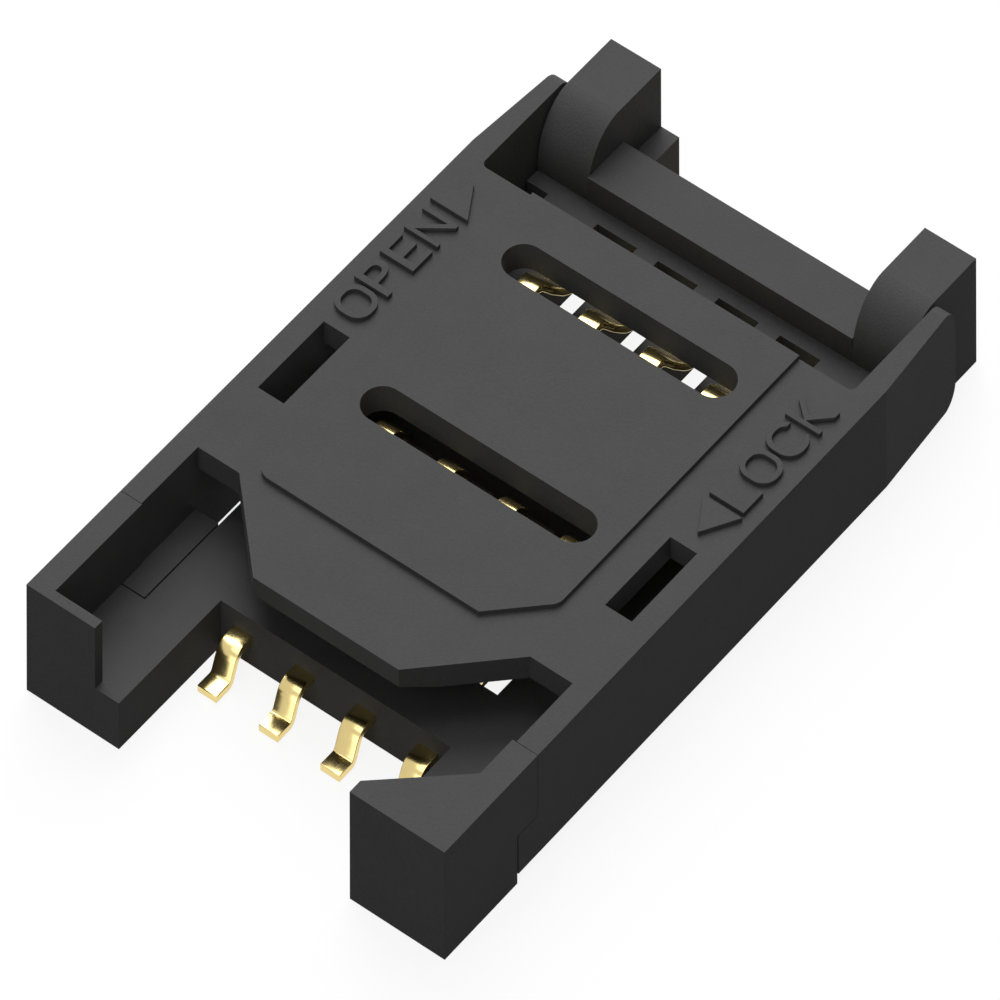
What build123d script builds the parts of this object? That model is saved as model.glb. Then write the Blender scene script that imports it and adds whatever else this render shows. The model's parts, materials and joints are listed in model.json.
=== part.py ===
from build123d import *
import math
import os

os.makedirs("parts", exist_ok=True)

# SIM card socket for a 25 x 15 mm card. A moulded base holds two rows of four
# spring contacts. A moulded lid turns on two pins at the back, and slides forward
# so that two tongues lock under the base. Millimetres, +Z up, the front (-Y) is
# where the card corner is cut. The origin is the middle of the footprint, on the board.

# Contact array: pitch of the card's pads, rows apart, and how far the card's two ends
# lie from the middle of its pads
contact_count = 4
contact_pitch = 2.54
row_spacing = 7.62
cut_end_from_pads = 16.0
square_end_from_pads = 9.2

# Base: outside width and height, the wall in front of the card, the posts behind it
base_width = 17.2
body_height = 3.4
front_wall = 0.38
post_length = 4.02
base_length = front_wall + cut_end_from_pads + square_end_from_pads + post_length
half_width = base_width / 2
front = -base_length / 2
back = base_length / 2
array_y = front + front_wall + cut_end_from_pads
card_stop_y = array_y + square_end_from_pads

# Base floor with a pocket at each end for the solder tails
floor_top = 1.47
pocket_half_width = 4.75
pocket_wall_from_array = 11.16
front_pocket_y = array_y - pocket_wall_from_array
back_pocket_y = array_y + pocket_wall_from_array

# Slots in the floor under the contact springs, with a solid rib between the two rows
spring_slot_width = 1.67
spring_slot_length = 6.29
spring_slot_from_array = 8.62
spring_slots_apart = 2 * spring_slot_from_array - spring_slot_length

# Front block of the base, with the overhangs that hold the lid's tongues down
left_wall = 0.9
right_wall = 1.02
front_wall_length = 2.86
block_length = 3.74
overhang_length = 1.06
corner_cut_width = 2.83
corner_cut_length = 2.57
corner_cut_start = 0.55
tongue_top = floor_top
tongue_clearance = 0.02
overhang_bottom = tongue_top + tongue_clearance
block_back_y = front + block_length
overhang_end_y = block_back_y + overhang_length

# Hinge posts with round fronts, and the low rail between them that stops the card
post_gap = 0.11
post_width = 2.115
rail_top = 2.23
shoulder_from_posts = 0.58
post_round = body_height / 2
post_round_y = card_stop_y + post_round

# Hinge pins: held in the lid's arms, free to slide in the posts
pin_radius = 0.4
pin_clearance = 0.02
pin_slot_clearance = 0.03
pin_before_round = 1.08
pin_depth_in_arm = 0.4
pin_depth_in_post = 1.0
pin_end_gap = 0.05
lid_travel = 1.05
pin_height = post_round
pin_y = post_round_y - pin_before_round

# Lid: side walls and tongues, then the arms that reach back round the pins
lid_wall = 0.865
lid_bottom = 0.27
seam_gap = 0.02
tongue_gap = 0.06
tongue_end_gap = 0.13
rail_width = 0.95
rail_clearance = 0.06
arm_past_pin = 1.4
arm_top_round = 0.65
arm_bottom_round = 0.7
arm_taper_length = 4.25
arm_taper = 0.34
arm_root_round = 0.25
lid_front_y = overhang_end_y + seam_gap
tongue_front_y = block_back_y + tongue_gap
arm_end_y = pin_y + arm_past_pin
lid_inner_half = half_width - lid_wall
floor_half = lid_inner_half - rail_width - rail_clearance
post_outer_half = lid_inner_half - post_gap
post_inner_half = post_outer_half - post_width

# Lid plate: its nose between the walls, and the two windows over the contact rows
plate_thickness = 0.68
lip_thickness = 0.55
lip_lead_in = 0.95
shoulder_from_lid_front = 2.91
nose_length = 3.01
nose_half_width = 3.0
window_length = 9.45
window_width = 1.5
window_spacing = 7.5
windows_shift = 0.045
plate_behind_window = 1.74
plate_bottom = body_height - plate_thickness
shoulder_y = lid_front_y + shoulder_from_lid_front
nose_y = shoulder_y - nose_length
tongue_end_y = shoulder_y - tongue_end_gap
windows_y = array_y + windows_shift
front_window_y = windows_y - window_spacing / 2
back_window_y = windows_y + window_spacing / 2
plate_back_y = back_window_y + window_width / 2 + plate_behind_window

# Side slots in the plate, each over a rail that carries the card's edge
side_slot_width = 1.09
side_slot_length = 3.46
side_slot_y = array_y - row_spacing / 2
card_rail_top = 1.8

# Raised panel on the plate
panel_height = 0.13
panel_half_width = 5.55
panel_from_shoulder = 0.27
panel_corner_cut = 1.85
panel_round = 0.5
panel_front_y = shoulder_y + panel_from_shoulder

# Contacts: a stamped strip bent to a solder foot, a rooted run, a spring beam and a nose.
# Their lengths are measured outwards from the crest that touches the card.
strip_thickness = 0.22
strip_width = 0.8
root_height = 0.85
crest_above_plate_bottom = 0.16
crest_clearance = 0.04
foot_length = 0.76
riser_run = 0.395
riser_gap = 0.735
foot_bend = 0.25
root_bend = 0.5
beam_bend = 2.0
beam_start_gap = 0.41
nose_start_bend = 1.5
nose_round = 0.65
nose_angle = 35.0
nose_beam = 1.58
tip_angle = 42.0
tip_length = 1.0
crest_height = plate_bottom + crest_above_plate_bottom
crest_from_array = row_spacing / 2
row_half_length = (contact_count - 1) / 2 * contact_pitch
pocket_wall_at = pocket_wall_from_array - crest_from_array
riser_top_at = pocket_wall_at + riser_gap
foot_bend_at = riser_top_at + riser_run
foot_end_at = foot_bend_at + foot_length
slot_end_at = spring_slot_from_array - crest_from_array
beam_start_at = slot_end_at - beam_start_gap

# Plan of the contacts: inside the floor the strip steps sideways to a narrow neck beside the
# slot's wall, which returns to a wide beam, then narrows again to the nose
neck_width = 0.5
neck_clearance = 0.05
neck_step_gap = 0.35
neck_step = 0.7
neck_length = 1.31
neck_return = 0.4
beam_width = 1.12
nose_width = 0.76
nose_shoulder_at = 0.3
nose_shoulder = 0.3
neck_offset = (spring_slot_width - neck_width) / 2 - neck_clearance
neck_step_at = pocket_wall_at - neck_step_gap
neck_end_at = slot_end_at - neck_length

# Reliefs under the plate in front of the windows, where the noses pass as the lid slides
relief_depth = crest_above_plate_bottom + crest_clearance
relief_length = lid_travel + nose_round
relief_half_width = row_half_length + beam_width / 2


def mirrored_sketch(outline):
    """The flat shape of a half outline given from the middle line round to it again."""
    with BuildSketch() as shape:
        with BuildLine():
            Polyline(*outline, close=True)
        make_face()
        mirror(about=Plane.YZ)
    return shape.sketch


def contact_plan(x, crest_y, facing):
    """The flat shape of one contact: facing is -1 when its tail points to the front, 1 to the back."""
    widths = [
        (foot_end_at, 0, strip_width),
        (neck_step_at, 0, strip_width),
        (neck_step_at - neck_step, neck_offset, neck_width),
        (neck_end_at, neck_offset, neck_width),
        (neck_end_at - neck_return, 0, beam_width),
        (nose_shoulder_at + nose_shoulder, 0, beam_width),
        (nose_shoulder_at, 0, nose_width),
        (-tip_length, 0, nose_width),
    ]
    one_edge = [(aside + width / 2, away) for away, aside, width in widths]
    other_edge = [(aside - width / 2, away) for away, aside, width in widths]
    outline = one_edge + other_edge[::-1]
    with BuildSketch() as shape:
        with BuildLine():
            Polyline(*[(x + facing * aside, crest_y + facing * away) for aside, away in outline], close=True)
        make_face()
    return shape.sketch


contact_places = [
    (row, facing, number, number * contact_pitch - row_half_length, array_y + facing * crest_from_array)
    for row, facing in (("front", -1), ("back", 1))
    for number in range(contact_count)
]

# Base housing
floor_outline = [
    (0, front_pocket_y),
    (pocket_half_width, front_pocket_y),
    (pocket_half_width, front),
    (half_width, front),
    (half_width, block_back_y),
    (floor_half, block_back_y),
    (floor_half, card_stop_y - shoulder_from_posts),
    (post_outer_half, card_stop_y - shoulder_from_posts),
    (post_outer_half, back),
    (pocket_half_width, back),
    (pocket_half_width, back_pocket_y),
    (0, back_pocket_y),
]
wall_height = body_height - floor_top

with BuildPart() as base_housing:
    with BuildSketch():
        add(mirrored_sketch(floor_outline))
    extrude(amount=floor_top)

    # Side walls, each with its overhang, seen from the side
    for outer_x, thickness in ((-half_width, left_wall), (half_width, -right_wall)):
        with BuildSketch(Plane.YZ.offset(outer_x)):
            with BuildLine():
                Polyline(
                    (front, floor_top),
                    (front, body_height),
                    (overhang_end_y, body_height),
                    (overhang_end_y, overhang_bottom),
                    (block_back_y, overhang_bottom),
                    (block_back_y, floor_top),
                    close=True,
                )
            make_face()
        extrude(amount=thickness)

    # Front wall on the left, and the block on the right that fits the card's cut corner
    with BuildSketch(Plane.XY.offset(floor_top)):
        with BuildLine():
            Polyline(
                (-half_width, front),
                (-half_width + front_wall_length, front),
                (-half_width + front_wall_length, front + front_wall),
                (-half_width, front + front_wall),
                close=True,
            )
        make_face()
        inner_x = half_width - right_wall
        with BuildLine():
            Polyline(
                (inner_x - corner_cut_width, front),
                (half_width, front),
                (half_width, front + corner_cut_start + corner_cut_length),
                (inner_x, front + corner_cut_start + corner_cut_length),
                (inner_x - corner_cut_width, front + corner_cut_start),
                close=True,
            )
        make_face()
    extrude(amount=wall_height)

    # Hinge posts with round fronts, and the low rail between them
    for side in (-1, 1):
        with BuildSketch(Plane.YZ.offset(side * post_inner_half)):
            with BuildLine():
                Line((card_stop_y, 0), (card_stop_y, post_round))
                RadiusArc((card_stop_y, post_round), (post_round_y, body_height), post_round)
                Polyline((post_round_y, body_height), (back, body_height), (back, 0), (card_stop_y, 0))
            make_face()
        extrude(amount=side * post_width)
    with BuildSketch(Plane.XY.offset(floor_top)):
        with BuildLine():
            Polyline(
                (-post_inner_half, card_stop_y),
                (post_inner_half, card_stop_y),
                (post_inner_half, back_pocket_y),
                (-post_inner_half, back_pocket_y),
                close=True,
            )
        make_face()
    extrude(amount=rail_top - floor_top)

    # Slots under the springs, and the channels that grip the contacts between slot and pocket
    with BuildSketch():
        with Locations((0, array_y)):
            with GridLocations(contact_pitch, spring_slots_apart, contact_count, 2):
                Rectangle(spring_slot_width, spring_slot_length)
    extrude(amount=floor_top, mode=Mode.SUBTRACT)
    with BuildSketch(Plane.XY.offset(root_height - strip_thickness / 2)):
        for row, facing, number, x, crest_y in contact_places:
            add(contact_plan(x, crest_y, facing))
    extrude(amount=strip_thickness, mode=Mode.SUBTRACT)

    # Long holes in the posts for the hinge pins
    for side in (-1, 1):
        with BuildSketch(Plane.YZ.offset(side * post_outer_half)):
            with Locations((pin_y + lid_travel / 2, pin_height)):
                SlotCenterToCenter(lid_travel, 2 * (pin_radius + pin_slot_clearance))
        extrude(amount=-side * (pin_depth_in_post + pin_end_gap), mode=Mode.SUBTRACT)

base_housing.part.label = "base_housing"
export_step(base_housing.part, "parts/base_housing.step")

# Lid
panel_outline = [
    (-panel_half_width, panel_front_y),
    (panel_half_width - panel_corner_cut, panel_front_y),
    (panel_half_width, panel_front_y + panel_corner_cut),
    (panel_half_width, plate_back_y),
    (-panel_half_width, plate_back_y),
]
plate_outline = [
    (0, nose_y),
    (nose_half_width, nose_y),
    (nose_half_width + nose_length, shoulder_y),
    (half_width, shoulder_y),
    (half_width, plate_back_y),
    (0, plate_back_y),
]

with BuildPart() as lid:
    with BuildSketch(Plane.XY.offset(plate_bottom)):
        add(mirrored_sketch(plate_outline))
    extrude(amount=plate_thickness)

    # Sloped underside at the front lip, which leads the card in
    with BuildSketch(Plane.YZ.offset(-half_width)):
        with BuildLine():
            Polyline(
                (nose_y, plate_bottom),
                (nose_y, body_height - lip_thickness),
                (nose_y + lip_lead_in, plate_bottom),
                close=True,
            )
        make_face()
    extrude(amount=base_width, mode=Mode.SUBTRACT)

    # Side walls: tongue in front, rounded arm behind, thinned towards the arm's end
    for side in (-1, 1):
        with BuildSketch(Plane.YZ.offset(side * lid_inner_half)) as wall_side:
            with BuildLine():
                Polyline(
                    (lid_front_y, body_height),
                    (lid_front_y, tongue_top),
                    (tongue_front_y, tongue_top),
                    (tongue_front_y, lid_bottom),
                    (arm_end_y, lid_bottom),
                    (arm_end_y, body_height),
                    close=True,
                )
            make_face()
            fillet(wall_side.vertices().group_by(Axis.X)[-1].sort_by(Axis.Y)[0], radius=arm_bottom_round)
            fillet(wall_side.vertices().group_by(Axis.X)[-1].sort_by(Axis.Y)[-1], radius=arm_top_round)
        extrude(amount=side * lid_wall)
    with BuildSketch():
        with BuildLine():
            Polyline(
                (half_width, arm_end_y - arm_taper_length),
                (half_width, arm_end_y),
                (half_width - arm_taper, arm_end_y),
                close=True,
            )
        make_face()
        mirror(about=Plane.YZ)
    extrude(amount=body_height, mode=Mode.SUBTRACT)

    # Small rounds where the plate's back edge meets the arms
    upright_edges = lid.edges().filter_by(Axis.Z)
    root_edges = upright_edges.filter_by(lambda edge: abs(edge.center().Y - plate_back_y) < arm_root_round)
    fillet(root_edges, radius=arm_root_round)

    # Tongues and card rails that reach in from the side walls
    for side in (-1, 1):
        rail_x = side * (lid_inner_half - rail_width / 2)
        tongue_length = tongue_end_y - tongue_front_y
        with BuildSketch(Plane.XY.offset(lid_bottom)):
            with Locations((rail_x, tongue_front_y + tongue_length / 2)):
                Rectangle(rail_width, tongue_length)
        extrude(amount=tongue_top - lid_bottom)
        with BuildSketch(Plane.XY.offset(lid_bottom)):
            with Locations((rail_x, side_slot_y)):
                Rectangle(rail_width, side_slot_length)
        extrude(amount=card_rail_top - lid_bottom)

    # Raised panel
    with BuildSketch(Plane.XY.offset(body_height)) as panel:
        with BuildLine():
            Polyline(*panel_outline, close=True)
        make_face()
        fillet(panel.vertices().group_by(Axis.Y)[0].sort_by(Axis.X)[0], radius=panel_round)
        fillet(panel.vertices().group_by(Axis.X)[-1].sort_by(Axis.Y)[0], radius=panel_round)
    extrude(amount=panel_height)
    with BuildSketch(Plane.XY.offset(plate_bottom)):
        with Locations((0, front_window_y - relief_length / 2), (0, back_window_y - relief_length / 2)):
            Rectangle(2 * relief_half_width, relief_length)
    extrude(amount=relief_depth, mode=Mode.SUBTRACT)

    # Windows over the two contact rows, and the slots beside the rails
    with BuildSketch(Plane.XY.offset(plate_bottom)):
        with Locations((0, front_window_y), (0, back_window_y)):
            SlotOverall(window_length, window_width)
        for side in (-1, 1):
            with Locations((side * (lid_inner_half - side_slot_width / 2), side_slot_y)):
                Rectangle(side_slot_width, side_slot_length)
    extrude(amount=plate_thickness + panel_height, mode=Mode.SUBTRACT)

    # Blind holes for the hinge pins
    for side in (-1, 1):
        with BuildSketch(Plane.YZ.offset(side * lid_inner_half)):
            with Locations((pin_y, pin_height)):
                Circle(pin_radius + pin_clearance)
        extrude(amount=side * (pin_depth_in_arm + pin_end_gap), mode=Mode.SUBTRACT)

lid.part.label = "lid"
export_step(lid.part, "parts/lid.step")

# Hinge pins
for side, side_name in ((-1, "left"), (1, "right")):
    pin_length = pin_depth_in_arm + post_gap + pin_depth_in_post
    with BuildPart() as hinge_pin:
        with BuildSketch(Plane.YZ.offset(side * (lid_inner_half + pin_depth_in_arm))):
            with Locations((pin_y, pin_height)):
                Circle(pin_radius)
        extrude(amount=-side * pin_length)
    hinge_pin.part.label = "hinge_pin_" + side_name
    export_step(hinge_pin.part, "parts/hinge_pin_" + side_name + ".step")


def contact_points():
    """The strip's middle line from the foot to the tip, as distance from the crest and height."""
    crest = crest_height - strip_thickness / 2
    half_turn = math.radians((nose_angle + tip_angle) / 2)
    lean = math.radians((tip_angle - nose_angle) / 2)
    apex = crest + nose_round * (math.cos(lean) / math.cos(half_turn) - 1)
    nose = math.radians(nose_angle)
    tip = math.radians(tip_angle)
    return [
        (foot_end_at, strip_thickness / 2),
        (foot_bend_at, strip_thickness / 2),
        (riser_top_at, root_height),
        (beam_start_at, root_height),
        (nose_beam * math.cos(nose), apex - nose_beam * math.sin(nose)),
        (0, apex),
        (-tip_length * math.cos(tip), apex - tip_length * math.sin(tip)),
    ]


def spring_contact(x, crest_y, facing):
    """One contact: its bent side view, trimmed to its plan."""
    line = [(crest_y + facing * away, height) for away, height in contact_points()]
    bends = [foot_bend, root_bend, beam_bend, nose_start_bend, nose_round]
    with BuildPart() as contact:
        with BuildSketch(Plane.YZ.offset(x)):
            with BuildLine():
                FilletPolyline(*line, radius=bends)
            trace(line_width=strip_thickness)
        extrude(amount=beam_width, both=True)
        with BuildSketch():
            add(contact_plan(x, crest_y, facing))
        extrude(amount=crest_height, mode=Mode.INTERSECT)
    return contact.part


# Two rows of contacts, their tails outwards
for row, facing, number, x, crest_y in contact_places:
    contact = spring_contact(x, crest_y, facing)
    contact.label = row + "_contact_" + str(number + 1)
    export_step(contact, "parts/" + contact.label + ".step")
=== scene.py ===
"""Looks of a SIM card socket: its finishes, rounded springs and raised marks, in a plain studio."""

import json
import logging
import math
from dataclasses import dataclass, field
from enum import Enum
from typing import Any

import bpy
import numpy as np
from mathutils import Matrix, Vector

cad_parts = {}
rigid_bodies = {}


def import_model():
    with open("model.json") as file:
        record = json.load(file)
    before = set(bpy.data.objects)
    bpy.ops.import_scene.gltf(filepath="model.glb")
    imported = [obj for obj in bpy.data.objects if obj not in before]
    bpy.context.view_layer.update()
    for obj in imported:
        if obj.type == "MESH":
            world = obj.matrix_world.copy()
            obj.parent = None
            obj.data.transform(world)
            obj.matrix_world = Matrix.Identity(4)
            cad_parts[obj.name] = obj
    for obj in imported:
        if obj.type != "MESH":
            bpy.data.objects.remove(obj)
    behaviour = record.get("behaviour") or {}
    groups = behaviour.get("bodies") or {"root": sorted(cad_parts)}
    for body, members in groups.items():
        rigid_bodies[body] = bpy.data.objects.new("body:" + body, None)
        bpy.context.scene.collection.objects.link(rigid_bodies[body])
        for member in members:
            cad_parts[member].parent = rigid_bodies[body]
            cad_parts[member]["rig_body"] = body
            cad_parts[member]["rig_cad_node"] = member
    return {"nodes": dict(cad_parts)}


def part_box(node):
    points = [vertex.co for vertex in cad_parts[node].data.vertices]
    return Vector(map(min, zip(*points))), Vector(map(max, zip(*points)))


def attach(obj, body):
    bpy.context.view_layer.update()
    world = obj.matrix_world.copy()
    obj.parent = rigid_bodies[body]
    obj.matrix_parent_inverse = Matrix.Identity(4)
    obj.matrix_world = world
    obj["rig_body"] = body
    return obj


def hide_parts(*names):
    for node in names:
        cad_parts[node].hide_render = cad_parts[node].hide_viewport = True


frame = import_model()

MM = 0.001
LOG = logging.getLogger("sim_card_socket")

Colour = tuple[float, float, float]
Stretch = tuple[float, float, float]

EVEN: Stretch = (1.0, 1.0, 1.0)
NOISE_MIDDLE = 0.5
UNIT = 1.0
X, Y = 0, 1

# Where a Mix node keeps its colours: its numbers and vectors come before them.
MIX_FIRST = 6
MIX_SECOND = 7
MIX_RESULT = 2


class Slot(Enum):
    """The record's material slots."""

    HOUSING = "housing_plastic"
    CONTACT = "contact_gold"
    PIN = "pin_steel"


class Body(Enum):
    """The bodies that new pieces ride on."""

    BASE = "base"
    LID = "lid"


class Heading(Enum):
    """Where an arrow points: its value is the sign of its length along Y."""

    TO_HINGE = 1
    TO_FRONT = -1


class Term:
    """A number in a shader, which Python's operators turn into Math nodes."""

    def __init__(self, graph: "Graph", socket: bpy.types.NodeSocket) -> None:
        """Wraps one output socket.

        Args:
            graph: The graph that the socket is in.
            socket: The output that gives the number.
        """
        self.graph = graph
        self.socket = socket

    def _math(self, operation: str, *values: "Term | float") -> "Term":
        """One Math node.

        Args:
            operation: The Math node's operation.
            values: What its sockets take, in order.

        Returns:
            The node's result.
        """
        made = self.graph.node("ShaderNodeMath", {"operation": operation}, dict(enumerate(values)))
        return Term(self.graph, made.outputs[0])

    def __add__(self, other: "Term | float") -> "Term":
        """This plus the other."""
        return self._math("ADD", self, other)

    def __sub__(self, other: "Term | float") -> "Term":
        """This less the other."""
        return self._math("SUBTRACT", self, other)

    def __rsub__(self, other: float) -> "Term":
        """The other less this."""
        return self._math("SUBTRACT", other, self)

    def __mul__(self, other: "Term | float") -> "Term":
        """This times the other."""
        return self._math("MULTIPLY", self, other)

    def above(self, floor: float) -> "Term":
        """This, but no lower than the floor."""
        return self._math("MAXIMUM", self, floor)

    __radd__ = __add__
    __rmul__ = __mul__


class Graph:
    """The nodes of one material or world."""

    def __init__(self, tree: bpy.types.NodeTree) -> None:
        """Empties the tree.

        Args:
            tree: The node tree to fill.
        """
        self.tree = tree
        tree.nodes.clear()

    def node(
        self,
        kind: str,
        settings: dict[str, Any] | None = None,
        inputs: dict[str | int, Any] | None = None,
    ) -> bpy.types.Node:
        """Adds one node.

        Args:
            kind: The node's type.
            settings: What is set on the node itself, before its sockets.
            inputs: The value or link of each socket, by name or number.

        Returns:
            The new node.
        """
        made = self.tree.nodes.new(kind)
        for name, value in (settings or {}).items():
            setattr(made, name, value)
        for key, value in (inputs or {}).items():
            self.feed(made.inputs[key], value)
        return made

    def feed(self, socket: bpy.types.NodeSocket, value: Any) -> None:
        """Links a socket to a term or an output, or sets it to a plain value.

        Args:
            socket: The input to fill.
            value: A Term, an output socket, or a number, colour or vector.
        """
        if isinstance(value, Term):
            value = value.socket
        if isinstance(value, bpy.types.NodeSocket):
            self.tree.links.new(value, socket)
        else:
            socket.default_value = value

    def place(self, stretch: Stretch) -> bpy.types.NodeSocket:
        """The point on the piece, in millimetres.

        Args:
            stretch: How much faster a pattern runs along each axis.

        Returns:
            The vector output.
        """
        coordinates = self.node("ShaderNodeTexCoord").outputs["Object"]
        scale = tuple(factor / MM for factor in stretch)
        mapping = self.node("ShaderNodeMapping", None, {"Vector": coordinates, "Scale": scale})
        return mapping.outputs["Vector"]

    def noise(self, size: float, detail: float, stretch: Stretch = EVEN) -> Term:
        """A cloudy pattern about one half.

        Args:
            size: How far apart its clouds are, in millimetres.
            detail: How many finer layers it has.
            stretch: How much faster it runs along each axis.

        Returns:
            The pattern's value.
        """
        inputs = {"Vector": self.place(stretch), "Scale": 1 / size, "Detail": detail}
        return Term(self, self.node("ShaderNodeTexNoise", None, inputs).outputs["Fac"])

    def bump(
        self, height: Term, depth: float, strength: float, normal: bpy.types.NodeSocket | None = None
    ) -> bpy.types.NodeSocket:
        """The normal of a surface that a pattern makes uneven.

        Args:
            height: The pattern.
            depth: How deep it is, in millimetres.
            strength: How much of it shows.
            normal: The normal that it starts from, if it isn't the mesh's own.

        Returns:
            The normal output.
        """
        inputs = {"Strength": strength, "Distance": depth * MM, "Height": height}
        if normal is not None:
            inputs["Normal"] = normal
        return self.node("ShaderNodeBump", None, inputs).outputs[0]

    def blend(self, share: Term, first: Colour, second: Colour) -> bpy.types.NodeSocket:
        """A colour between two.

        Args:
            share: How much of the second, from 0 to 1.
            first: The colour at 0.
            second: The colour at 1.

        Returns:
            The colour output.
        """
        inputs = {"Factor": share, MIX_FIRST: (*first, 1), MIX_SECOND: (*second, 1)}
        return self.node("ShaderNodeMix", {"data_type": "RGBA"}, inputs).outputs[MIX_RESULT]

    def mix(
        self, share: Term | float, first: bpy.types.Node, second: bpy.types.Node
    ) -> bpy.types.Node:
        """A shader between two.

        Args:
            share: How much of the second, from 0 to 1.
            first: The shader at 0.
            second: The shader at 1.

        Returns:
            The Mix Shader node.
        """
        inputs = {0: share, 1: first.outputs[0], 2: second.outputs[0]}
        return self.node("ShaderNodeMixShader", None, inputs)

    def surface(self, inputs: dict[str | int, Any]) -> None:
        """Ends a material in one Principled shader.

        Args:
            inputs: The shader's sockets.
        """
        shader = self.node("ShaderNodeBsdfPrincipled", None, inputs)
        self.node("ShaderNodeOutputMaterial", None, {"Surface": shader.outputs[0]})


def new_material(name: str) -> tuple[bpy.types.Material, Graph]:
    """A material and its empty graph.

    Args:
        name: The material's name.

    Returns:
        The material and the graph to fill.
    """
    material = bpy.data.materials.new(name)
    material.use_nodes = True
    return material, Graph(material.node_tree)


@dataclass(frozen=True)
class MouldedPlastic:
    """Matte black housing plastic with a fine spark-eroded grain. Sizes in millimetres."""

    light: Colour = (0.071, 0.071, 0.071)
    dark: Colour = (0.041, 0.041, 0.041)
    cloud_size: float = 1.6
    cloud_detail: float = 3
    grain_size: float = 0.07
    grain_detail: float = 2
    grain_share: float = 0.5
    grain_depth: float = 0.012
    grain_strength: float = 0.8
    roughness: float = 0.5
    roughness_spread: float = 0.12
    specular: float = 0.035
    edge_round: float = 0.012
    edge_samples: int = 6

    def material(self) -> bpy.types.Material:
        """The finish as a material."""
        material, graph = new_material(Slot.HOUSING.value)
        grain = graph.noise(self.grain_size, self.grain_detail)
        cloud = graph.noise(self.cloud_size, self.cloud_detail)
        mottle = grain * self.grain_share + cloud * (1 - self.grain_share)
        edge = graph.node(
            "ShaderNodeBevel", {"samples": self.edge_samples}, {"Radius": self.edge_round * MM}
        )
        graph.surface(
            {
                "Base Color": graph.blend(mottle, self.dark, self.light),
                "Roughness": (cloud - NOISE_MIDDLE) * self.roughness_spread + self.roughness,
                "Specular IOR Level": self.specular,
                "Normal": graph.bump(grain, self.grain_depth, self.grain_strength, edge.outputs[0]),
            }
        )
        return material


@dataclass(frozen=True)
class GoldPlate:
    """Pale gold plating on rolled strip, with its rolling lines along Y. Sizes in millimetres."""

    bright: Colour = (0.93, 0.75, 0.34)
    dull: Colour = (0.80, 0.63, 0.26)
    line_size: float = 0.06
    line_detail: float = 2
    line_stretch: float = 0.06
    line_share: float = 0.5
    line_depth: float = 0.001
    line_strength: float = 0.25
    cloud_size: float = 0.5
    cloud_detail: float = 2
    roughness: float = 0.21
    roughness_spread: float = 0.10

    def material(self) -> bpy.types.Material:
        """The finish as a material."""
        material, graph = new_material(Slot.CONTACT.value)
        lines = graph.noise(self.line_size, self.line_detail, (1, self.line_stretch, 1))
        cloud = graph.noise(self.cloud_size, self.cloud_detail)
        tone = lines * self.line_share + cloud * (1 - self.line_share)
        unevenness = cloud + lines - 2 * NOISE_MIDDLE
        graph.surface(
            {
                "Base Color": graph.blend(tone, self.dull, self.bright),
                "Metallic": 1.0,
                "Roughness": unevenness * self.roughness_spread + self.roughness,
                "Normal": graph.bump(lines, self.line_depth, self.line_strength),
            }
        )
        return material


@dataclass(frozen=True)
class DrawnSteel:
    """Plain drawn steel, with its draw lines along X, as the pins lie. Sizes in millimetres."""

    bright: Colour = (0.62, 0.62, 0.63)
    dull: Colour = (0.48, 0.48, 0.49)
    line_size: float = 0.05
    line_detail: float = 3
    line_stretch: float = 0.05
    line_depth: float = 0.002
    line_strength: float = 0.4
    roughness: float = 0.32
    roughness_spread: float = 0.15

    def material(self) -> bpy.types.Material:
        """The finish as a material."""
        material, graph = new_material(Slot.PIN.value)
        lines = graph.noise(self.line_size, self.line_detail, (self.line_stretch, 1, 1))
        graph.surface(
            {
                "Base Color": graph.blend(lines, self.dull, self.bright),
                "Metallic": 1.0,
                "Roughness": (lines - NOISE_MIDDLE) * self.roughness_spread + self.roughness,
                "Normal": graph.bump(lines, self.line_depth, self.line_strength),
            }
        )
        return material


@dataclass(frozen=True)
class Finishes:
    """Each slot's material, made once."""

    housing: bpy.types.Material = field(default_factory=lambda: MouldedPlastic().material())
    contact: bpy.types.Material = field(default_factory=lambda: GoldPlate().material())
    pin: bpy.types.Material = field(default_factory=lambda: DrawnSteel().material())


def dress(piece: bpy.types.Object, material: bpy.types.Material) -> None:
    """Gives a piece one material all over.

    Args:
        piece: The mesh to dress.
        material: Its finish.
    """
    piece.data.materials.clear()
    piece.data.materials.append(material)


def deselect_all() -> None:
    """Deselects everything, because an operator acts on all that is selected."""
    bpy.ops.object.select_all(action="DESELECT")


def choose(piece: bpy.types.Object) -> None:
    """Selects one object alone and makes it active."""
    deselect_all()
    piece.select_set(True)
    bpy.context.view_layer.objects.active = piece


def settle(piece: bpy.types.Object) -> None:
    """Puts an object's place, turn and size into its mesh."""
    choose(piece)
    bpy.ops.object.transform_apply(location=True, rotation=True, scale=True)


def extent(piece: bpy.types.Object, axis: int) -> tuple[float, float]:
    """The lowest and highest value of a mesh along one axis."""
    values = [vertex.co[axis] for vertex in piece.data.vertices]
    return min(values), max(values)


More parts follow.
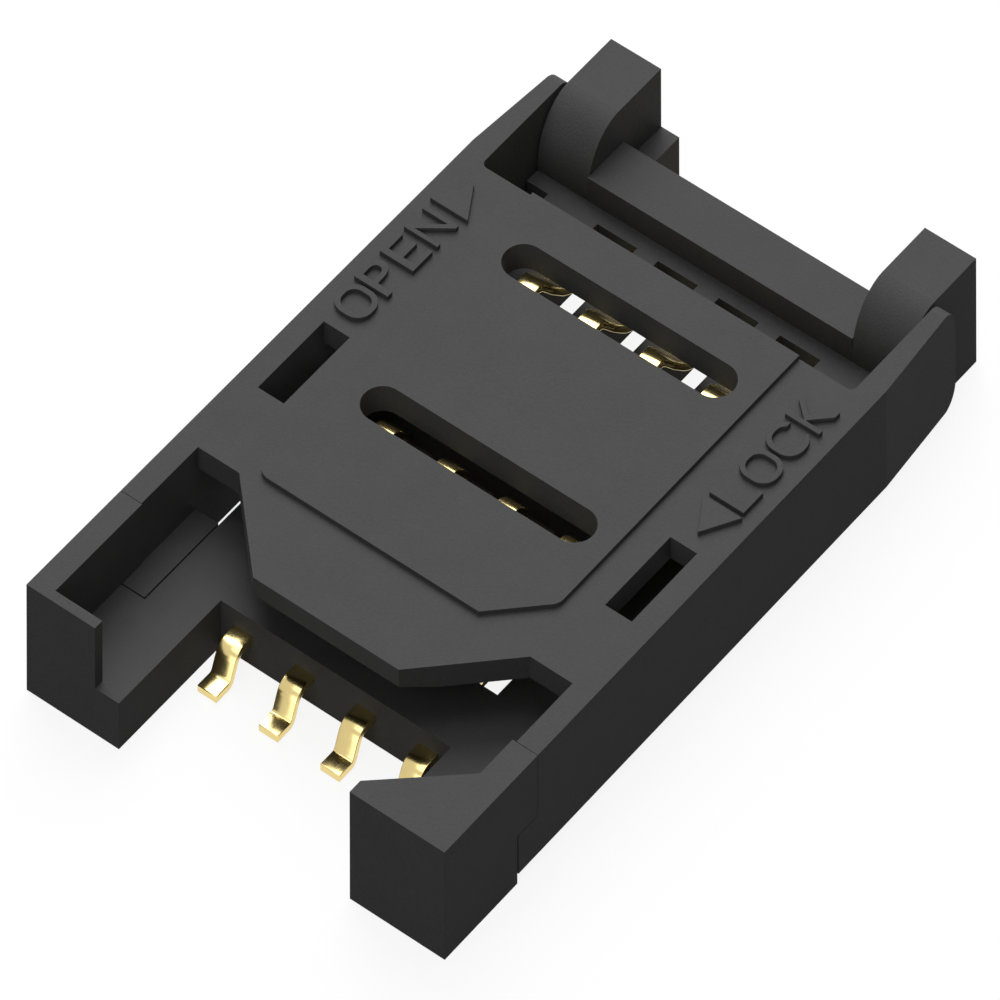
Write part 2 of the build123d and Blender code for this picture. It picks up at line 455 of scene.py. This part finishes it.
@dataclass(frozen=True)
class EdgeRounding:
    """How a mesh is cleaned and its sharp edges are rounded. Sizes in mm, angles in radians.

    An edge that turns by more than sharper_than is rounded. Triangles that turn by less than
    flat_within are one flat face.
    """

    width: float
    segments: int
    sharper_than: float = math.radians(40)
    flat_within: float = math.radians(0.5)
    merge: float = 0.001

    def clean(self, piece: bpy.types.Object) -> None:
        """Merges a mesh's doubles and joins the triangles of each flat face.

        Args:
            piece: The mesh to clean.
        """
        choose(piece)
        bpy.ops.object.mode_set(mode="EDIT")
        bpy.ops.mesh.select_all(action="SELECT")
        bpy.ops.mesh.remove_doubles(threshold=self.merge * MM)
        bpy.ops.mesh.dissolve_limited(angle_limit=self.flat_within)
        bpy.ops.mesh.normals_make_consistent(inside=False)
        bpy.ops.object.mode_set(mode="OBJECT")

    def round(self, piece: bpy.types.Object) -> None:
        """Cleans a mesh, rounds its sharp edges for good and shades it smooth.

        Args:
            piece: The mesh to round.
        """
        self.clean(piece)
        choose(piece)
        bevel = piece.modifiers.new("edge rounding", "BEVEL")
        bevel.width = self.width * MM
        bevel.segments = self.segments
        bevel.limit_method = "ANGLE"
        bevel.angle_limit = self.sharper_than
        bpy.ops.object.modifier_apply(modifier=bevel.name)
        bpy.ops.object.shade_smooth_by_angle(angle=self.sharper_than)


@dataclass
class PlainSolids:
    """Solids that show as they are, in one finish."""

    material: bpy.types.Material
    nodes: tuple[str, ...]

    def build(self) -> list[bpy.types.Object]:
        """Dresses each solid.

        Returns:
            The solids' objects.
        """
        pieces = [frame["nodes"][name] for name in self.nodes]
        for piece in pieces:
            dress(piece, self.material)
        return pieces


@dataclass
class Housing(PlainSolids):
    """The base and the lid, as moulded."""

    nodes: tuple[str, ...] = ("base_housing", "lid")


@dataclass
class HingePins(PlainSolids):
    """The two pins that the lid turns on."""

    nodes: tuple[str, ...] = ("hinge_pin_left", "hinge_pin_right")


@dataclass
class SpringContacts:
    """The eight stamped springs, with the rounded edges that stamping and plating leave."""

    material: bpy.types.Material
    rows: tuple[str, ...] = ("front", "back")
    row_count: int = 4
    edges: EdgeRounding = EdgeRounding(width=0.03, segments=2)
    solid_marks: tuple[str, ...] = ("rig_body", "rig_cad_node")

    def build(self) -> list[bpy.types.Object]:
        """Makes each spring from its solid's form, in the solid's place.

        Returns:
            The eight springs.
        """
        numbers = range(1, self.row_count + 1)
        return [self.spring(f"{row}_contact_{number}") for row in self.rows for number in numbers]

    def spring(self, node: str) -> bpy.types.Object:
        """One spring.

        Args:
            node: The solid that it stands for.

        Returns:
            The finished spring.
        """
        piece = frame["nodes"][node].copy()
        piece.data = piece.data.copy()
        piece.parent = None
        for mark in self.solid_marks:
            del piece[mark]
        piece.name = node + "_plated"
        bpy.context.scene.collection.objects.link(piece)
        self.edges.round(piece)
        dress(piece, self.material)
        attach(piece, Body.BASE.value)
        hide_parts(node)
        return piece


@dataclass(frozen=True)
class Letter:
    """One raised capital: what it is, and where it starts and ends along Y, in mm."""

    sign: str
    start: float
    end: float


@dataclass(frozen=True)
class Word:
    """A row of capitals that reads towards the hinge: base_line is its X, in mm."""

    name: str
    base_line: float
    letters: tuple[Letter, ...]


@dataclass(frozen=True)
class Arrow:
    """A raised triangle: centre is its X and base the Y of its flat side, in mm."""

    name: str
    centre: float
    base: float
    points: Heading


OPEN_WORD = Word(
    "mark_open",
    base_line=-6.62,
    letters=(
        Letter("O", 0.05, 1.33),
        Letter("P", 1.47, 2.57),
        Letter("E", 2.82, 3.86),
        Letter("N", 4.11, 5.25),
    ),
)
LOCK_WORD = Word(
    "mark_lock",
    base_line=8.03,
    letters=(
        Letter("L", 1.60, 2.65),
        Letter("O", 2.83, 4.11),
        Letter("C", 4.24, 5.50),
        Letter("K", 5.66, 6.80),
    ),
)
OPEN_ARROW = Arrow("arrow_open", centre=-7.31, base=5.60, points=Heading.TO_HINGE)
LOCK_ARROW = Arrow("arrow_lock", centre=7.32, base=1.42, points=Heading.TO_FRONT)


@dataclass
class RaisedMarks:
    """The words and arrows that stand on the lid beside its panel. Sizes in mm.

    Each mark is made one unit thick at the origin, then scaled and put in its place.
    """

    material: bpy.types.Material
    words: tuple[Word, ...] = (OPEN_WORD, LOCK_WORD)
    arrows: tuple[Arrow, ...] = (OPEN_ARROW, LOCK_ARROW)
    reading_turn: float = math.radians(90)
    height: float = 0.12
    sunk: float = 0.02
    below_top: float = 0.002
    capital_height: float = 1.41
    flat_topped_sign: str = "E"
    ring_signs: str = "OC"
    open_ring_sign: str = "C"
    stroke: float = 0.20
    corner: float = 0.58
    corner_segments: int = 12
    gap_low: float = 0.33
    gap_high: float = 1.03
    arrow_corners: int = 3
    arrow_length: float = 1.35
    arrow_width: float = 1.60
    edges: EdgeRounding = EdgeRounding(width=0.01, segments=1)

    def build(self) -> list[bpy.types.Object]:
        """Makes each word and arrow.

        Returns:
            The marks.
        """
        pieces = [self.word(word) for word in self.words]
        pieces += [self.arrow(arrow) for arrow in self.arrows]
        for piece in pieces:
            self.edges.round(piece)
            dress(piece, self.material)
            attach(piece, Body.LID.value)
        return pieces

    def stand(
        self, piece: bpy.types.Object, scale: tuple[float, float], place: tuple[float, float]
    ) -> None:
        """Gives a mark its size and place, just under the lid's highest face.

        Args:
            piece: The mark, at the origin.
            scale: The millimetres that a unit becomes along the mark's own X and Y.
            place: The X and Y that the mark's origin goes to.
        """
        thickness = self.height + self.sunk
        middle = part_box("lid")[1].z / MM - self.below_top - thickness / 2
        piece.scale = tuple(factor * MM for factor in (*scale, thickness))
        piece.location = Vector((*place, middle)) * MM
        settle(piece)

    def flat_letter(self, sign: str) -> bpy.types.Object:
        """One capital of the built-in letters.

        Args:
            sign: The capital.

        Returns:
            Its mesh.
        """
        deselect_all()
        bpy.ops.object.text_add()
        text = bpy.context.object
        text.data.body = sign
        text.data.extrude = UNIT / 2
        bpy.ops.object.convert(target="MESH")
        return bpy.context.object

    def ring_letter(self, letter: Letter) -> bpy.types.Object:
        """An O or a C, as a rounded ring.

        Args:
            letter: Its sign and its ends.

        Returns:
            Its mesh, with its lower left corner at the origin.
        """
        width = letter.end - letter.start
        deselect_all()
        bpy.ops.mesh.primitive_plane_add(size=UNIT)
        piece = bpy.context.object
        bpy.ops.object.mode_set(mode="EDIT")
        bpy.ops.transform.resize(value=(width, self.capital_height, UNIT))
        bpy.ops.transform.translate(value=(width / 2, self.capital_height / 2, -UNIT / 2))
        bpy.ops.mesh.bevel(
            offset=self.corner, segments=self.corner_segments, affect="VERTICES", clamp_overlap=False
        )
        bpy.ops.mesh.inset(thickness=self.stroke)
        bpy.ops.mesh.delete(type="FACE")
        if letter.sign == self.open_ring_sign:
            self.open_ring(piece, width / 2)
        bpy.ops.mesh.select_all(action="SELECT")
        bpy.ops.mesh.extrude_region_move(TRANSFORM_OT_translate={"value": (0, 0, UNIT)})
        bpy.ops.object.mode_set(mode="OBJECT")
        return piece

    def open_ring(self, piece: bpy.types.Object, middle: float) -> None:
        """Cuts the gap of a C out of a flat ring's right side, in edit mode.

        Args:
            piece: The ring.
            middle: Where the ring's middle is.
        """
        for height in (self.gap_low, self.gap_high):
            bpy.ops.mesh.select_all(action="SELECT")
            bpy.ops.mesh.bisect(plane_co=(0, height, 0), plane_no=(0, 1, 0))
        bpy.ops.object.mode_set(mode="OBJECT")
        for face in piece.data.polygons:
            across, up = face.center.x, face.center.y
            face.select = across > middle and self.gap_low < up < self.gap_high
        bpy.ops.object.mode_set(mode="EDIT")
        bpy.ops.mesh.delete(type="FACE")

    def letter(self, letter: Letter, base_line: float, type_height: float) -> bpy.types.Object:
        """One letter in its place.

        Args:
            letter: Its sign and its ends.
            base_line: The X that it stands on.
            type_height: How high the built-in capitals are.

        Returns:
            The finished letter.
        """
        if letter.sign in self.ring_signs:
            piece, upright = self.ring_letter(letter), 1.0
        else:
            piece, upright = self.flat_letter(letter.sign), self.capital_height / type_height
        left, right = extent(piece, X)
        along = (letter.end - letter.start) / (right - left)
        piece.rotation_euler = (0, 0, self.reading_turn)
        self.stand(piece, (along, upright), (base_line, letter.start - left * along))
        return piece

    def word(self, word: Word) -> bpy.types.Object:
        """One word as a single mesh.

        Args:
            word: Its letters and its line.

        Returns:
            The mesh in its place.
        """
        measure = self.flat_letter(self.flat_topped_sign)
        type_height = extent(measure, Y)[1]
        bpy.data.objects.remove(measure)
        letters = [self.letter(letter, word.base_line, type_height) for letter in word.letters]
        choose(letters[0])
        for piece in letters[1:]:
            piece.select_set(True)
        bpy.ops.object.join()
        letters[0].name = word.name
        return letters[0]

    def arrow(self, arrow: Arrow) -> bpy.types.Object:
        """One triangle.

        Args:
            arrow: Its place and direction.

        Returns:
            The mesh in its place.
        """
        deselect_all()
        bpy.ops.mesh.primitive_cylinder_add(vertices=self.arrow_corners, radius=UNIT, depth=UNIT)
        piece = bpy.context.object
        piece.name = arrow.name
        left, right = extent(piece, X)
        tail, tip = extent(piece, Y)
        across = self.arrow_width / (right - left)
        along = arrow.points.value * self.arrow_length / (tip - tail)
        self.stand(piece, (across, along), (arrow.centre, arrow.base - tail * along))
        return piece


@dataclass(frozen=True)
class Lamp:
    """A soft lamp that faces the socket. Lengths in metres; an azimuth of 0 is in front of it."""

    name: str
    azimuth: float
    elevation: float
    distance: float
    size: tuple[float, float]
    radiance: float

    def build(self) -> None:
        """Hangs the lamp."""
        level = math.cos(self.elevation) * self.distance
        height = math.sin(self.elevation) * self.distance
        place = Vector((math.sin(self.azimuth) * level, -math.cos(self.azimuth) * level, height))
        deselect_all()
        bpy.ops.object.light_add(type="AREA", location=place)
        lamp = bpy.context.object
        lamp.name = self.name
        lamp.data.shape = "RECTANGLE"
        lamp.data.size, lamp.data.size_y = self.size
        lamp.data.energy = self.radiance * math.pi * self.size[0] * self.size[1]
        lamp.rotation_mode = "QUATERNION"
        lamp.rotation_quaternion = (-place).to_track_quat("-Z", "Y")
        lamp.visible_camera = False


LAMPS = (
    Lamp(
        "back_lamp",
        azimuth=math.radians(-142),
        elevation=math.radians(42),
        distance=0.6,
        size=(0.6, 0.6),
        radiance=3.7,
    ),
    Lamp(
        "front_lamp",
        azimuth=math.radians(10),
        elevation=math.radians(30),
        distance=0.5,
        size=(0.5, 0.3),
        radiance=1.35,
    ),
    Lamp(
        "top_lamp",
        azimuth=0.0,
        elevation=math.radians(90),
        distance=0.6,
        size=(0.5, 0.5),
        radiance=1.35,
    ),
)


@dataclass
class Studio:
    """A pale table under soft light. Lengths in metres; a radiance of 1 is white.

    The table and the sky are white where they are seen or mirrored. The light that falls on the
    socket comes from a darker table and a dimmer sky, so that its sides stay darker than its tops.
    """

    table_size: float = 4.0
    table_pale: Colour = (0.95, 0.95, 0.95)
    table_dark: Colour = (0.10, 0.10, 0.10)
    table_white: float = 0.885
    white: float = 1.0
    sky_high: float = 0.30
    sky_low: float = 0.13
    lamps: tuple[Lamp, ...] = LAMPS

    def build(self) -> None:
        """Makes the table, the sky and the lamps."""
        self.table()
        self.sky()
        for lamp in self.lamps:
            lamp.build()

    def seen(self, graph: Graph) -> Term:
        """1 for a ray from the eye, mirrored or through glass too, and 0 for one that lights.

        Args:
            graph: The graph to add the nodes to.

        Returns:
            The share.
        """
        path = graph.node("ShaderNodeLightPath")
        camera = Term(graph, path.outputs["Is Camera Ray"])
        glossy = Term(graph, path.outputs["Is Glossy Ray"])
        through = Term(graph, path.outputs["Is Transmission Ray"])
        return camera + glossy + through

    def table(self) -> None:
        """The table top, which is white with the socket's shadow on it where it is seen."""
        deselect_all()
        bpy.ops.mesh.primitive_plane_add(size=self.table_size)
        top = bpy.context.object
        top.name = "table"
        material, graph = new_material("table_white")
        pale = graph.node("ShaderNodeBsdfDiffuse", None, {"Color": (*self.table_pale, 1)})
        dark = graph.node("ShaderNodeBsdfDiffuse", None, {"Color": (*self.table_dark, 1)})
        white = graph.node("ShaderNodeEmission", None, {"Strength": self.white})
        look = graph.mix(self.seen(graph), dark, graph.mix(self.table_white, pale, white))
        graph.node("ShaderNodeOutputMaterial", None, {"Surface": look.outputs[0]})
        dress(top, material)

    def sky(self) -> None:
        """A sky that lights most from overhead, and is white where it is seen."""
        world = bpy.data.worlds.new("studio")
        world.use_nodes = True
        bpy.context.scene.world = world
        graph = Graph(world.node_tree)
        direction = graph.node("ShaderNodeTexCoord").outputs["Generated"]
        split = graph.node("ShaderNodeSeparateXYZ", None, {"Vector": direction})
        up = Term(graph, split.outputs["Z"]).above(0.0)
        glow = up * (self.sky_high - self.sky_low) + self.sky_low
        light = graph.node("ShaderNodeBackground", None, {"Strength": glow})
        white = graph.node("ShaderNodeBackground", None, {"Strength": self.white})
        look = graph.mix(self.seen(graph), light, white)
        graph.node("ShaderNodeOutputWorld", None, {"Surface": look.outputs[0]})


@dataclass
class UprightCamera:
    """A camera whose picture plane stays upright while it looks down. Lengths in mm.

    The plane is turned by azimuth about the vertical and by roll in itself. The line of sight runs
    from distance away, measured level, to aim on the board face. It heads aside of the plane's own
    direction and drops by fall for each millimetre that it runs level.
    """

    azimuth: float = math.radians(38.0918)
    roll: float = math.radians(-0.1352)
    aside: float = math.radians(0.109)
    fall: float = 0.80025
    distance: float = 589.85
    aim: tuple[float, float] = (-1.263, 0.623)
    focal_pixels: float = 18025.4
    picture_pixels: int = 1000
    sensor: float = 36.0

    def build(self) -> None:
        """Makes the scene's camera.

        The camera's three axes aren't square to each other, which one object can't hold. They are
        parted into a turned and stretched rig and a camera that is turned inside it.
        """
        right = Vector((math.cos(self.azimuth), math.sin(self.azimuth), 0))
        back = Vector((math.sin(self.azimuth), -math.cos(self.azimuth), 0))
        right = Matrix.Rotation(self.roll, 3, back) @ right
        up = back.cross(right)
        heading = self.azimuth + self.aside
        sight = Vector((-math.sin(heading), math.cos(heading), -self.fall))
        eye = Vector((*self.aim, 0)) - sight * self.distance
        axes = np.array([right, up, -sight.normalized()]).T
        rig_turn, stretch, camera_turn = np.linalg.svd(axes)
        if np.linalg.det(rig_turn) < 0:
            rig_turn[:, -1] *= -1
            camera_turn[-1, :] *= -1
        rig = bpy.data.objects.new("camera_rig", None)
        bpy.context.scene.collection.objects.link(rig)
        placed = Matrix.Translation(eye * MM) @ Matrix(rig_turn.tolist()).to_4x4()
        rig.matrix_world = placed @ Matrix.Diagonal((*stretch, 1))
        data = bpy.data.cameras.new("camera")
        data.sensor_width = self.sensor
        data.lens = self.focal_pixels * sight.length * self.sensor / self.picture_pixels
        camera = bpy.data.objects.new("camera", data)
        bpy.context.scene.collection.objects.link(camera)
        camera.parent = rig
        camera.matrix_local = Matrix(camera_turn.tolist()).to_4x4()
        bpy.context.scene.camera = camera


def main() -> None:
    """Builds the socket's looks, the studio and the camera."""
    logging.basicConfig(level=logging.INFO, format="%(message)s")
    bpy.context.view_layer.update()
    finishes = Finishes()
    assemblies = (
        Housing(finishes.housing),
        HingePins(finishes.pin),
        SpringContacts(finishes.contact),
        RaisedMarks(finishes.housing),
    )
    for assembly in assemblies:
        for piece in assembly.build():
            faces = len(piece.data.polygons)
            LOG.info("%s: %s, %d faces", type(assembly).__name__, piece.name, faces)
    Studio().build()
    UprightCamera().build()
    bpy.context.scene.view_settings.view_transform = "Standard"


if __name__ == "__main__":
    main()
